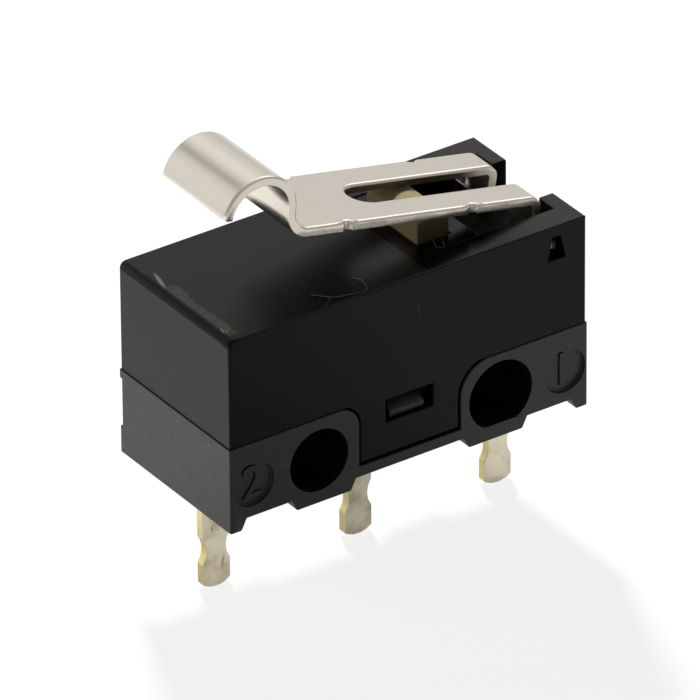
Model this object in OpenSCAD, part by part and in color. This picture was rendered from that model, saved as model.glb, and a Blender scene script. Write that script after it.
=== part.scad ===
// Subminiature snap action switch with a hinged lever, for a circuit board.
// X runs along the case, towards the hinge end. Y runs across it, and Z is up.
// The origin is midway between the two mounting holes, on their axis, in the middle of the case.
// Inside each sub-part heights are measured up from the board seat.

/* [Case] */
// Spacing of the two mounting holes
hole_pitch = 6.5; // [6:0.1:8]
// Board seat to the axis of the mounting holes
hole_rise = 1.45; // [1.4:0.05:1.8]
// Diameter of the round mounting hole, at the free end
round_hole_d = 2.05; // [1.6:0.05:2.2]
// Diameter of the wider mounting hole, at the hinge end
wide_hole_d = 2.25; // [1.8:0.05:2.4]
// Axis of the wider hole down to the flat in it
wide_hole_flat = 0.96; // [0.8:0.02:1]
// Mounting hole to the terminal beside it, along the case
hole_to_terminal = 1.83; // [1.75:0.01:2.4]
// End terminal to the end of the case
terminal_to_end = 1.32; // [1.25:0.01:1.8]
// Thickness of the case
case_w = 5.8; // [5.4:0.1:7]
// Axis of the mounting holes up to the joint between base and cover
hole_to_split = 1.4; // [1.3:0.05:1.8]

/* [Base] */
// Height of the feet and stand-offs under the base
standoff_h = 0.37; // [0.25:0.01:0.4]
// Stand-off, from the hole axis towards the middle
standoff_in = 1.13; // [0.9:0.01:1.3]
// Stand-off, from the hole axis towards the end
standoff_out = 0.79; // [0.6:0.01:0.9]
// Length of the foot at each end
foot_l = 0.4; // [0.3:0.01:0.6]
// Slope of the sides of feet and stand-offs, as a run along the case
foot_draft = 0.18; // [0.05:0.01:0.25]
// Hole axis to the inner face of an end block
hole_to_block = 1.43; // [1.3:0.01:1.5]
// Rounding of the inner top corner of the block at the free end
free_block_r = 0.7; // [0.4:0.05:1.2]
// Rounding of the inner top corner of the block at the hinge end
hinge_block_r = 1.05; // [0.4:0.05:1.2]
// Height of the sill below the cover's skirts
sill_h = 0.35; // [0.2:0.01:0.45]
// Rounding of the upright corners of the base
base_corner_r = 0.06; // [0.05:0.01:0.3]
// Height of the rim that locates the cover
rim_h = 0.5; // [0.3:0.05:0.8]
// Wall of that rim
rim_t = 0.25; // [0.15:0.01:0.3]
// Diameter of the sunk disc round each terminal number
disc_d = 1.46; // [1:0.02:1.5]
// End of the case to the middle of the disc
disc_to_end = 0.82; // [0.8:0.01:1]
// Depth of the disc
disc_depth = 0.13; // [0.04:0.01:0.2]
// Depth of the shallow panel in the back at the free end
panel_depth = 0.13; // [0.05:0.01:0.2]
// Length of that panel
panel_l = 1.5; // [1:0.1:2]
// Lower edge of that panel, up from the seat
panel_low = 0.9; // [0.6:0.05:1.2]
// Height of that panel
panel_h = 1.65; // [1:0.05:1.7]

/* [Cover] */
// Height inside the cover, joint to the underside of the recess floor
cavity_h = 2.05; // [1.9:0.05:2.6]
// Thickness of the recess floor
floor_t = 0.45; // [0.3:0.05:0.7]
// Depth of the recess for the lever
recess_depth = 1.15; // [1:0.05:1.3]
// How far the deck round the plunger lies below the top of the cover
deck_sunk = 0.05; // [0.03:0.01:0.2]
// Roof of the cover beyond the recess
roof_t = 0.6; // [0.4:0.05:0.8]
// How far the cover stands back from the faces of the base
cover_step = 0.04; // [0.02:0.01:0.12]
// Wall of the cover at the long sides, and of the skirts
side_wall = 0.53; // [0.4:0.01:0.6]
// Wall of the cover at the ends
end_wall = 0.53; // [0.4:0.01:0.6]
// Thickness of the cheeks on both sides of the lever
cheek_t = 0.88; // [0.6:0.01:0.95]
// Width of the gap between the two horns
horn_gap = 2.4; // [2:0.1:3]
// Gap between skirt and end blocks
seam = 0.07; // [0.03:0.01:0.12]
// Gap between skirt and sill
skirt_gap = 0.1; // [0.05:0.01:0.2]
// Gap between the cover's walls and the base's rim
rim_fit = 0.03; // [0.02:0.01:0.06]
// Rounding of the upright corners of the cover
cover_corner_r = 0.06; // [0.05:0.01:0.3]
// Rounding of the top edge at the free end
free_edge_r = 0.25; // [0.05:0.01:0.4]
// Rounding of the top edge at the hinge end
hinge_edge_r = 0.08; // [0.05:0.01:0.3]
// Rounding of the top edges along the sides
side_edge_r = 0.05; // [0.03:0.01:0.2]

/* [Latch] */
// Width of the latch window
latch_window_w = 1.72; // [1.3:0.02:2]
// Height of the latch window
latch_window_h = 0.78; // [0.6:0.02:0.85]
// Height of the bar under the window
latch_bar_h = 1.05; // [0.8:0.05:1.1]
// Gap between the tooth and the ends of its window
latch_side_gap = 0.24; // [0.1:0.01:0.3]
// Gap between the tooth and the bar
latch_fit = 0.04; // [0.02:0.01:0.1]
// Height of the tooth
tooth_h = 0.52; // [0.4:0.01:0.6]
// Height of the tooth's flat face, below its ramp
tooth_face_h = 0.2; // [0.1:0.01:0.25]
// How far the tooth stays below the cover's outer face
tooth_sunk = 0.13; // [0.05:0.01:0.2]

/* [Lever] */
// Thickness of the lever strip
lever_t = 0.3; // [0.2:0.01:0.35]
// Width of the lever
lever_w = 3.3; // [2.8:0.05:3.6]
// Angle of the free lever above the case
lever_rise = 11.7; // [10:0.1:14]
// End of the case to the pivot axis
pivot_to_end = 1.1; // [1.08:0.01:1.2]
// Recess floor up to the pivot axis
pivot_rise = 0.37; // [0.3:0.01:0.45]
// Pivot axis to the middle of the flat strip, square to it
lever_lift = 1; // [0.95:0.01:1.15]
// Pivot to the start of the upward bend, along the strip
lever_flat_l = 8.37; // [7.5:0.01:9]
// Radius of the bend down into the legs, in the middle of the strip
leg_bend_r = 0.3; // [0.2:0.01:0.4]
// Radius of the bend up to the curl, in the middle of the strip
rise_bend_r = 0.7; // [0.5:0.05:0.9]
// Outer radius of the curl
curl_r = 1.3; // [1:0.05:1.6]
// Width of the slot between the two legs
slot_w = 1.2; // [0.9:0.05:1.4]
// Pivot to the round end of the slot, along the strip
slot_l = 5.8; // [4.5:0.1:6.5]
// Height of the ears that the lever turns on
ear_h = 0.3; // [0.2:0.01:0.34]
// How far the ears end inside the cover's outer face
ear_sunk = 0.26; // [0.1:0.01:0.4]
// Width of the pivot window at its top
pivot_window_top_w = 0.3; // [0.28:0.01:0.4]
// Width of the pivot window at its bottom
pivot_window_low_w = 0.66; // [0.6:0.01:0.8]
// Pivot axis up to the top of its window
pivot_window_rise = 0.41; // [0.35:0.01:0.5]
// Radius of the small notches in the lever's edges
edge_notch_r = 0.17; // [0.1:0.01:0.25]
// Depth of those notches
edge_notch_depth = 0.12; // [0.05:0.01:0.15]
// Pivot to the first pair of notches, along the strip
edge_notch_near = 2.39; // [1.5:0.01:3]
// Pivot to the second pair of notches, along the strip
edge_notch_far = 6.95; // [6:0.01:7.2]

/* [Plunger] */
// Pivot axis to the middle of the plunger
plunger_arm = 3.35; // [3:0.01:3.6]
// Size of the plunger along the case
plunger_l = 1.15; // [0.9:0.05:1.3]
// Size of the plunger across the case
plunger_w = 2.6; // [2:0.1:3]
// Radius of the plunger's rounded top
crown_r = 1.2; // [0.8:0.05:2]
// Gap between the plunger and its opening
guide_fit = 0.05; // [0.03:0.01:0.1]
// How far the flange stands out at the ends of the plunger
flange_l = 0.2; // [0.1:0.01:0.3]
// How far the flange stands out at the sides of the plunger
flange_w = 0.25; // [0.15:0.01:0.4]
// Plunger to each end of the deck that it comes out of
plunger_room = 0.65; // [0.3:0.05:0.8]
// Gap between pieces that rest on each other and then move apart
rest_gap = 0.02; // [0.01:0.01:0.03]

/* [Terminals] */
// Thickness of the terminal strip
strip_t = 0.3; // [0.25:0.01:0.35]
// Width of a terminal leg
leg_w = 0.97; // [0.8:0.01:1.05]
// Board seat down to the tip of a leg
leg_l = 3.6; // [3:0.05:4.5]
// Radius of the rounded tip
tip_r = 0.8; // [0.6:0.05:1.2]
// Tip up to the middle of the neck
neck_to_tip = 1.3; // [1.2:0.05:1.5]
// Depth of the neck's scallop on each side
neck_depth = 0.14; // [0.08:0.01:0.2]
// Length of the scallop
neck_l = 0.9; // [0.7:0.05:1]
// Inner radius of the bends in the strip
strip_bend_r = 0.15; // [0.1:0.01:0.2]
// Width of the common and normally open strips on the base
strip_w = 2; // [1.6:0.1:2.4]
// Width of the normally closed strip above the base
nc_strip_w = 1.4; // [1.2:0.1:1.8]
// Gap beside a leg where it is bent out of its strip
relief = 0.12; // [0.08:0.01:0.2]
// Spacing of the two posts of the common strip
post_pitch = 2.48; // [2.2:0.02:2.7]

/* [Contacts and leaf] */
// Radius of the contact heads
contact_r = 0.5; // [0.4:0.01:0.55]
// Radius of the contact shanks
shank_r = 0.25; // [0.2:0.01:0.3]
// Height of a fixed contact above its strip
fixed_contact_h = 0.35; // [0.25:0.01:0.45]
// Radius of the dome of a fixed contact
dome_r = 1.5; // [1:0.1:2.5]
// Height of each head of the moving contact
head_h = 0.2; // [0.15:0.01:0.25]
// Open gap between the moving and the normally open contact
contact_gap = 0.45; // [0.3:0.01:0.5]
// End of the case to the middle of the contacts
contact_to_end = 2.7; // [2.6:0.05:3]
// How far a strip or the leaf reaches past a contact's head
contact_margin = 0.06; // [0.03:0.01:0.1]
// Thickness of the leaf
leaf_t = 0.1; // [0.06:0.01:0.12]
// Width of the leaf
leaf_w = 2.4; // [2.1:0.05:3]
// Width of the window round the tongue
leaf_window_w = 1.3; // [1.2:0.05:1.5]
// Width of the tongue
tongue_w = 0.9; // [0.6:0.05:1]
// Length of the tongue, root to notch
tongue_l = 3.9; // [3.4:0.1:4.2]
// Drop of the tongue from the leaf to its notch
tongue_drop = 0.8; // [0.6:0.05:0.9]
// Width of the front post that holds the tongue
post_w = 1; // [0.7:0.05:1.1]
// Depth of the notch in the front post
notch_depth = 0.1; // [0.05:0.01:0.14]
// Width of the hook on the rear post
hook_w = 0.8; // [0.5:0.05:1]
// Height of the hook above the leaf
hook_h = 0.3; // [0.15:0.01:0.35]
// Gap round the hook and the tongue's tip
hook_fit = 0.03; // [0.02:0.01:0.05]
// How far the leaf reaches past the hook
hook_margin = 0.16; // [0.1:0.01:0.17]

/* [Hidden] */
$fn = 64;

// Places along the case
hole_x = hole_pitch / 2;
terminal_x = hole_x + hole_to_terminal;
case_l = 2 * (terminal_x + terminal_to_end);
block_x = hole_x - hole_to_block;
pivot_x = case_l / 2 - pivot_to_end;
plunger_x = pivot_x - plunger_arm;
deck_x = plunger_x - plunger_l / 2 - plunger_room;
recess_x = plunger_x + plunger_l / 2 + plunger_room;
contact_x = contact_to_end - case_l / 2;
post_x = terminal_x + leg_w / 2 - strip_t / 2;
front_post_x = post_x - post_pitch;

// Heights above the seat
split_h = hole_rise + hole_to_split;
floor_under = split_h + cavity_h;
recess_floor = floor_under + floor_t;
case_h = recess_floor + recess_depth;
skirt_low = standoff_h + sill_h + skirt_gap;
latch_window_low = skirt_low + latch_bar_h;
pivot_z = recess_floor + pivot_rise;
strip_top = split_h + strip_t;
leaf_low = strip_top + fixed_contact_h + contact_gap + head_h;
leaf_top = leaf_low + leaf_t;
leaf_z = leaf_low + leaf_t / 2;
nc_face = leaf_top + head_h + rest_gap;
nc_arm_low = nc_face + fixed_contact_h;
tongue_tip_z = leaf_z - tongue_drop;

// Sizes of the cover and of what fits in it
cover_l = case_l - 2 * cover_step;
cover_w = case_w - 2 * cover_step;
cavity_l = cover_l - 2 * end_wall;
cavity_w = cover_w - 2 * side_wall;
rim_l = cavity_l - 2 * rim_fit;
rim_w = cavity_w - 2 * rim_fit;
recess_w = cover_w - 2 * cheek_t;
tooth_w = latch_window_w - 2 * latch_side_gap;

// Length that carries a cut or a joined solid clear through a face
past = 0.5;

// Set a sub-part down so that the mounting holes are on the origin's level
module from_seat() {
    translate([0, 0, -hole_rise]) children();
}

// Make an outline in X and Z thick in Y, about the middle of the case
module across(width) {
    rotate([90, 0, 0]) linear_extrude(width, center = true) children();
}

// Make an outline in X and Y thick from one height to another
module between(low, high) {
    translate([0, 0, low]) linear_extrude(high - low) children();
}

// Make an outline in Y and Z thick from one place along the case to another
module along(start, end) {
    translate([start, 0, 0]) rotate([90, 0, 90]) linear_extrude(end - start) children();
}

// Copy a piece to the other side of the middle plane of the case
module both_sides() {
    children();
    mirror([0, 1, 0]) children();
}

// Rectangle by its lower left and upper right corners
module corners(low, high) {
    translate(low) square(high - low);
}

// Rectangle about the origin with round corners
module round_rect(length, width, radius) {
    square([length - 2 * radius, width], center = true);
    square([length, width - 2 * radius], center = true);
    for (sx = [-1, 1], sy = [-1, 1])
        translate([sx * (length / 2 - radius), sy * (width / 2 - radius)]) circle(radius);
}

// Rectangle from the ground line up, with its two top corners round, each by its own radius
module round_top(width, height, start_r, end_r) {
    half = width / 2;
    corners([start_r - half, 0], [half - end_r, height]);
    corners([-half, 0], [0, height - start_r]);
    corners([0, 0], [half, height - end_r]);
    translate([start_r - half, height - start_r]) circle(start_r);
    translate([half - end_r, height - end_r]) circle(end_r);
}

// Quarter of a bent strip, from its start on +X round to its end on +Y
module quarter_bend(radius, thickness) {
    intersection() {
        difference() {
            circle(radius + thickness / 2);
            circle(radius - thickness / 2);
        }
        square(radius + thickness);
    }
}

// Outline of an end block, from the seat up, on the +X side: its inner top corner is round.
// A gap makes it larger towards the middle, but no higher.
module block_outline(radius, gap) {
    intersection() {
        union() {
            corners([block_x + radius, 0], [case_l / 2, split_h]);
            corners([block_x - gap, 0], [case_l / 2, split_h - radius]);
            translate([block_x + radius, split_h - radius]) circle(radius + gap);
        }
        corners([0, 0], [case_l / 2, split_h]);
    }
}

// Both end blocks, each with its own rounding
module block_outlines(gap) {
    block_outline(hinge_block_r, gap);
    mirror([1, 0]) block_outline(free_block_r, gap);
}

// Outline of the two end blocks, the sill between them, and the feet and stand-offs below
module base_outline() {
    difference() {
        union() {
            block_outlines(0);
            corners([-block_x, 0], [block_x, standoff_h + sill_h]);
        }
        middle_gap = hole_x - standoff_in;
        polygon([[-middle_gap, 0], [foot_draft - middle_gap, standoff_h],
            [middle_gap - foot_draft, standoff_h], [middle_gap, 0],
            [middle_gap, -past], [-middle_gap, -past]]);
        gap_start = hole_x + standoff_out;
        gap_end = case_l / 2 - foot_l;
        for (side = [0, 1]) mirror([side, 0])
            polygon([[gap_start, 0], [gap_start + foot_draft, standoff_h],
                [gap_end - foot_draft, standoff_h], [gap_end, 0], [gap_end, -past], [gap_start, -past]]);
    }
}

// Round hole at the free end, and a wider one with a flat below it at the hinge end
module mounting_hole_outlines() {
    translate([-hole_x, hole_rise]) circle(d = round_hole_d);
    translate([hole_x, hole_rise]) intersection() {
        circle(d = wide_hole_d);
        corners([-wide_hole_d, -wide_hole_flat], [wide_hole_d, wide_hole_d]);
    }
}

// Tooth that the bar of the cover snaps under: flat below, with a ramp above
module latch_tooth() {
    low = latch_window_low + latch_fit;
    face = cover_w / 2 - tooth_sunk;
    along(-tooth_w / 2, tooth_w / 2)
        polygon([[rim_w / 2 - past, low], [face, low], [face, low + tooth_face_h],
            [rim_w / 2, low + tooth_h], [rim_w / 2 - past, low + tooth_h]]);
}

module base() {
    color("#2d2f33") from_seat() difference() {
        union() {
            intersection() {
                across(case_w) base_outline();
                between(0, case_h) round_rect(case_l, case_w, base_corner_r);
            }
            between(standoff_h, split_h) square([rim_l, rim_w], center = true);
            between(split_h, split_h + rim_h) difference() {
                square([rim_l, rim_w], center = true);
                square([rim_l - 2 * rim_t, rim_w - 2 * rim_t], center = true);
            }
            both_sides() latch_tooth();
        }
        across(case_w + past) mounting_hole_outlines();
        for (side = [-1, 1]) translate([side * (case_l / 2 - disc_to_end), -case_w / 2, hole_rise])
            rotate([90, 0, 0]) cylinder(d = disc_d, h = 2 * disc_depth, center = true);
        translate([-case_l / 2 - past, case_w / 2 - panel_depth, panel_low])
            cube([panel_l + past, past, panel_h]);
        common_strip();
        normally_open_strip();
        normally_closed_strip();
    }
}

// Side view of the cover: a flat top, and a skirt that fits between the end blocks
module cover_outline() {
    difference() {
        translate([0, skirt_low]) round_top(cover_l, case_h - skirt_low, free_edge_r, hinge_edge_r);
        block_outlines(seam);
    }
}

// Opening in a cheek for an ear of the lever, narrow at the top
module pivot_window_outline() {
    top = pivot_z + pivot_window_rise;
    polygon([[pivot_x - pivot_window_low_w / 2, recess_floor],
        [pivot_x + pivot_window_low_w / 2, recess_floor],
        [pivot_x + pivot_window_top_w / 2, top], [pivot_x - pivot_window_top_w / 2, top]]);
}

module cover() {
    horn_x = cover_l / 2 - end_wall;
    color("#242527") from_seat() difference() {
        intersection() {
            across(cover_w) cover_outline();
            between(0, case_h) round_rect(cover_l, cover_w, cover_corner_r);
            along(-case_l / 2, case_l / 2) round_top(cover_w, case_h, side_edge_r, side_edge_r);
        }
        between(0, floor_under) square([cavity_l, cavity_w], center = true);
        between(0, case_h - roof_t)
            corners([-cavity_l / 2, -cavity_w / 2], [deck_x, cavity_w / 2]);
        between(case_h - deck_sunk, case_h + past) corners([deck_x, -recess_w / 2], [horn_x, recess_w / 2]);
        between(recess_floor, case_h + past) corners([recess_x, -recess_w / 2], [horn_x, recess_w / 2]);
        between(recess_floor, case_h + past) corners([recess_x, -horn_gap / 2], [case_l, horn_gap / 2]);
        between(split_h, case_h + past) translate([plunger_x, 0])
            square([plunger_l + 2 * guide_fit, plunger_w + 2 * guide_fit], center = true);
        across(case_w) pivot_window_outline();
        across(case_w) translate([0, latch_window_low + latch_window_h / 2])
            square([latch_window_w, latch_window_h], center = true);
    }
}

// Height of the lever's underside above the plunger, with the lever free
lever_under = pivot_z + (lever_lift - lever_t / 2) / cos(lever_rise) + plunger_arm * tan(lever_rise);
// Axis of the plunger's round top, which the sloping lever just clears
crown_z = lever_under - (crown_r + rest_gap) / cos(lever_rise);

module plunger() {
    flange = [plunger_l + 2 * flange_l, plunger_w + 2 * flange_w];
    color("#d9cfae") from_seat() translate([plunger_x, 0, 0]) {
        between(leaf_top + rest_gap, floor_under - rest_gap) square(flange, center = true);
        intersection() {
            between(leaf_top + rest_gap, crown_z + crown_r) square([plunger_l, plunger_w], center = true);
            across(plunger_w) {
                translate([0, crown_z]) circle(crown_r);
                corners([-plunger_l, 0], [plunger_l, crown_z]);
            }
        }
    }
}

// Side view of the lever about its pivot, lying flat: leg, flat, rise and curl
module lever_outline() {
    curl_mid_r = curl_r - lever_t / 2;
    half = lever_t / 2;
    rise_z = lever_lift + rise_bend_r;
    corners([-half, -ear_h / 2], [half, lever_lift - leg_bend_r]);
    translate([-leg_bend_r, lever_lift - leg_bend_r]) quarter_bend(leg_bend_r, lever_t);
    corners([-lever_flat_l, lever_lift - half], [-leg_bend_r, lever_lift + half]);
    translate([-lever_flat_l, rise_z]) rotate(180) quarter_bend(rise_bend_r, lever_t);
    translate([-lever_flat_l - rise_bend_r - curl_mid_r, rise_z]) {
        quarter_bend(curl_mid_r, lever_t);
        rotate(90) quarter_bend(curl_mid_r, lever_t);
    }
}

module lever() {
    ear_tip = cover_w / 2 - ear_sunk;
    reach = lever_lift + lever_t;
    color("#c3c1bc") from_seat() translate([pivot_x, 0, pivot_z]) rotate([0, lever_rise, 0]) {
        difference() {
            across(lever_w) lever_outline();
            between(-reach, reach) {
                translate([-slot_l + slot_w / 2, 0]) circle(d = slot_w);
                corners([-slot_l + slot_w / 2, -slot_w / 2], [lever_t, slot_w / 2]);
                for (place = [edge_notch_near, edge_notch_far], side = [-1, 1])
                    translate([-place, side * (lever_w / 2 + edge_notch_r - edge_notch_depth)])
                        circle(edge_notch_r);
            }
        }
        both_sides() translate([-lever_t / 2, slot_w / 2, -ear_h / 2])
            cube([lever_t, ear_tip - slot_w / 2, ear_h]);
    }
}

// Leg for the board: straight, with a scalloped neck and a round tip
module leg_outline() {
    neck_r = (neck_l * neck_l / 4 + neck_depth * neck_depth) / (2 * neck_depth);
    difference() {
        intersection() {
            corners([-leg_w / 2, -leg_l], [leg_w / 2, split_h - strip_bend_r]);
            union() {
                corners([-leg_w, tip_r - leg_l], [leg_w, split_h]);
                translate([0, tip_r - leg_l]) circle(tip_r);
            }
        }
        for (side = [-1, 1])
            translate([side * (leg_w / 2 - neck_depth + neck_r), neck_to_tip - leg_l]) circle(neck_r);
    }
}

// Leg with the bend that turns it down out of a flat strip on the base, over part of its width
module bent_leg(bend_start, bend_end) {
    bend_y = -strip_t / 2 - strip_bend_r;
    across(strip_t) leg_outline();
    along(bend_start, bend_end) {
        translate([bend_y, split_h - strip_bend_r]) quarter_bend(strip_bend_r + strip_t / 2, strip_t);
        corners([-strip_w / 2, split_h], [bend_y, strip_top]);
    }
}

// Flat strip on the base, cut back beside the leg that is bent out of it
module flat_strip(start, end, leg_start, leg_end) {
    bend_y = -strip_t / 2 - strip_bend_r;
    between(split_h, strip_top) difference() {
        corners([start, -strip_w / 2], [end, strip_w / 2]);
        corners([leg_start - relief, bend_y], [leg_end + relief, strip_w]);
    }
}

// Common strip: leg, plate, rear post with the hook for the leaf, front post with the tongue's notch
module common_strip() {
    leg_start = terminal_x - leg_w / 2;
    leg_end = post_x - strip_t / 2 - relief;
    post_top = tongue_tip_z + 2 * notch_depth;
    translate([terminal_x, 0, 0]) bent_leg(-leg_w / 2, leg_end - terminal_x);
    flat_strip(front_post_x - strip_t / 2, post_x + strip_t / 2, leg_start, leg_end);
    along(post_x - strip_t / 2, post_x + strip_t / 2) {
        corners([-strip_w / 2, split_h], [strip_w / 2, leaf_low - rest_gap]);
        corners([-hook_w / 2, split_h], [hook_w / 2, leaf_top + hook_h]);
    }
    difference() {
        along(front_post_x - strip_t / 2, front_post_x + strip_t / 2)
            corners([-post_w / 2, split_h], [post_w / 2, post_top]);
        translate([front_post_x - strip_t / 2, 0, 0]) across(strip_w)
            polygon([[0, tongue_tip_z - notch_depth], [notch_depth, tongue_tip_z],
                [0, tongue_tip_z + notch_depth]]);
    }
}

module common_terminal() {
    color("#cfc6ac") from_seat() common_strip();
}

// Normally open strip: leg in the middle of the case, plate that runs under the moving contact
module normally_open_strip() {
    start = contact_x - contact_r - contact_margin;
    difference() {
        union() {
            bent_leg(-leg_w / 2, leg_w / 2);
            flat_strip(start, leg_w / 2, -leg_w / 2, leg_w / 2);
        }
        translate([contact_x, 0, split_h - past]) cylinder(r = shank_r, h = strip_t + 2 * past);
    }
}

module normally_open_terminal() {
    color("#cfc6ac") from_seat() normally_open_strip();
}

// Normally closed strip: leg, post up the end of the case, arm that runs back over the moving contact
module normally_closed_strip() {
    bend = strip_bend_r + strip_t / 2;
    arm_z = nc_arm_low + strip_t / 2;
    arm_end = contact_x + contact_r + contact_margin;
    difference() {
        across(nc_strip_w) {
            corners([-post_x - strip_t / 2, standoff_h + sill_h], [-post_x + strip_t / 2, arm_z - bend]);
            translate([bend - post_x, arm_z - bend]) rotate(90) quarter_bend(bend, strip_t);
            corners([bend - post_x, nc_arm_low], [arm_end, nc_arm_low + strip_t]);
        }
        between(0, split_h) corners([-case_l, strip_t / 2], [0, case_w]);
        translate([contact_x, 0, nc_face]) cylinder(r = shank_r, h = fixed_contact_h + strip_t + past);
    }
    translate([-terminal_x, 0, 0]) across(strip_t) leg_outline();
}

module normally_closed_terminal() {
    color("#cfc6ac") from_seat() normally_closed_strip();
}

// Fixed contact rivet, face up: a domed head and a shank through its strip
module fixed_contact() {
    intersection() {
        cylinder(r = contact_r, h = fixed_contact_h);
        translate([0, 0, fixed_contact_h - dome_r]) sphere(dome_r);
    }
    translate([0, 0, -strip_t]) cylinder(r = shank_r, h = strip_t + fixed_contact_h / 2);
}

module no_contact() {
    color("#d8d6d0") from_seat() translate([contact_x, 0, strip_top]) fixed_contact();
}

module nc_contact() {
    color("#d8d6d0") from_seat() translate([contact_x, 0, nc_arm_low]) mirror([0, 0, 1]) fixed_contact();
}

// Leaf with a hole for the hook, a hole for the moving contact, and a tongue bowed down to its notch
module leaf_spring() {
    tip_x = front_post_x - strip_t / 2 + notch_depth / 2;
    root_x = tip_x - tongue_l;
    bow_r = (tongue_l * tongue_l + tongue_drop * tongue_drop) / (2 * tongue_drop);
    window_end = front_post_x + strip_t / 2 + relief;
    color("#b9814f") from_seat() {
        between(leaf_low, leaf_top) difference() {
            corners([contact_x - contact_r - contact_margin, -leaf_w / 2],
                [post_x + strip_t / 2 + hook_margin, leaf_w / 2]);
            corners([root_x, -leaf_window_w / 2], [window_end, leaf_window_w / 2]);
            translate([post_x, 0]) square([strip_t + 2 * hook_fit, hook_w + 2 * hook_fit], center = true);
            translate([contact_x, 0]) circle(shank_r);
        }
        across(tongue_w) intersection() {
            translate([root_x, leaf_z - bow_r]) difference() {
                circle(bow_r + leaf_t / 2, $fn = 256);
                circle(bow_r - leaf_t / 2, $fn = 256);
            }
            corners([root_x - leaf_t, tongue_tip_z - leaf_t], [tip_x, leaf_top]);
        }
    }
}

module moving_contact() {
    color("#d8d6d0") from_seat() translate([contact_x, 0, 0]) {
        translate([0, 0, leaf_low - head_h]) cylinder(r = contact_r, h = head_h);
        translate([0, 0, leaf_low - head_h / 2]) cylinder(r = shank_r, h = leaf_t + head_h);
        translate([0, 0, leaf_top]) cylinder(r = contact_r, h = head_h);
    }
}

base();
cover();
plunger();
lever();
common_terminal();
normally_open_terminal();
normally_closed_terminal();
no_contact();
nc_contact();
leaf_spring();
moving_contact();
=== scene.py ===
"""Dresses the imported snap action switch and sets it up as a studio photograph."""
import math
import random

import bmesh
import bpy
from mathutils import Matrix, Vector


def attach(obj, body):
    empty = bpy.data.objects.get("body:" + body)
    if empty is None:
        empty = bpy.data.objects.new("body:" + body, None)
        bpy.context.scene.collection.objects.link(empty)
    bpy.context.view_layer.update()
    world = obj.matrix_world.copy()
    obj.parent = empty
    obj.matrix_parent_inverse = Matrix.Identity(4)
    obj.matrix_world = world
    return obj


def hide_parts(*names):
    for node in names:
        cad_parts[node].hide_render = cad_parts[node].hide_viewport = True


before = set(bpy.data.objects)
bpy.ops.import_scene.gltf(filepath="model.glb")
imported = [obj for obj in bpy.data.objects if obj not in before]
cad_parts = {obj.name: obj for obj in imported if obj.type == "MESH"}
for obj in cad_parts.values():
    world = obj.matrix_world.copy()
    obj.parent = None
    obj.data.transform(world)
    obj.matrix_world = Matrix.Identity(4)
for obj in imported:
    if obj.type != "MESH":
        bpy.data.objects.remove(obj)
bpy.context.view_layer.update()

# Base
# The lower half of the case, moulded in black PBT round the three terminal strips.
# Its mould was spark eroded, so the flats have a fine even grain and rounded parting
# edges. The bores of the two screw holes carry painted shade: a darker, barely shiny black for the shade inside
# them.
MM = 0.001
MERGE_MM = 0.0005
FLAT_DEG = 0.4
SHARP_DEG = 24
HOLD_WIDTHS = 2.5
NORMAL_WEIGHT = 60
BASE_EDGE_MM = 0.03
BASE_BLACK = "#212222"
BASE_FLOW = "#292a2a"
BORE_SHADE_BLACK = "#141515"
BORE_SHADE_FLOW = "#191a1a"
BORES_MM = ((-3.25, 1.3), (3.25, 1.4))
FLOW_MM = 2.6
GRAIN_MM = 0.07
GRAIN_DEPTH_MM = 0.01


def linear(code):
    """An sRGB hex value as the linear colour that a shader takes."""
    parts = [int(code[i:i + 2], 16) / 255 for i in (1, 3, 5)]
    return [p / 12.92 if p <= 0.04045 else ((p + 0.055) / 1.055) ** 2.4 for p in parts] + [1.0]


def add_node(tree, kind, inputs=None, **settings):
    """A node with its settings; an input is a value, or the socket that feeds it."""
    node = tree.nodes.new("ShaderNode" + kind)
    for name, value in settings.items():
        setattr(node, name, value)
    for name, value in (inputs or {}).items():
        if isinstance(value, bpy.types.NodeSocket):
            tree.links.new(value, node.inputs[name])
        else:
            node.inputs[name].default_value = value
    return node


def new_material(name):
    """An empty material: its tree, its output and the place on the piece that patterns read."""
    material = bpy.data.materials.new(name)
    material.use_nodes = True
    tree = material.node_tree
    tree.nodes.clear()
    place = add_node(tree, "TexCoord").outputs["Object"]
    return material, tree, add_node(tree, "OutputMaterial"), place


def linked(name, data):
    """An object that holds the data, in the scene."""
    piece = bpy.data.objects.new(name, data)
    bpy.context.scene.collection.objects.link(piece)
    return piece


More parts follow.
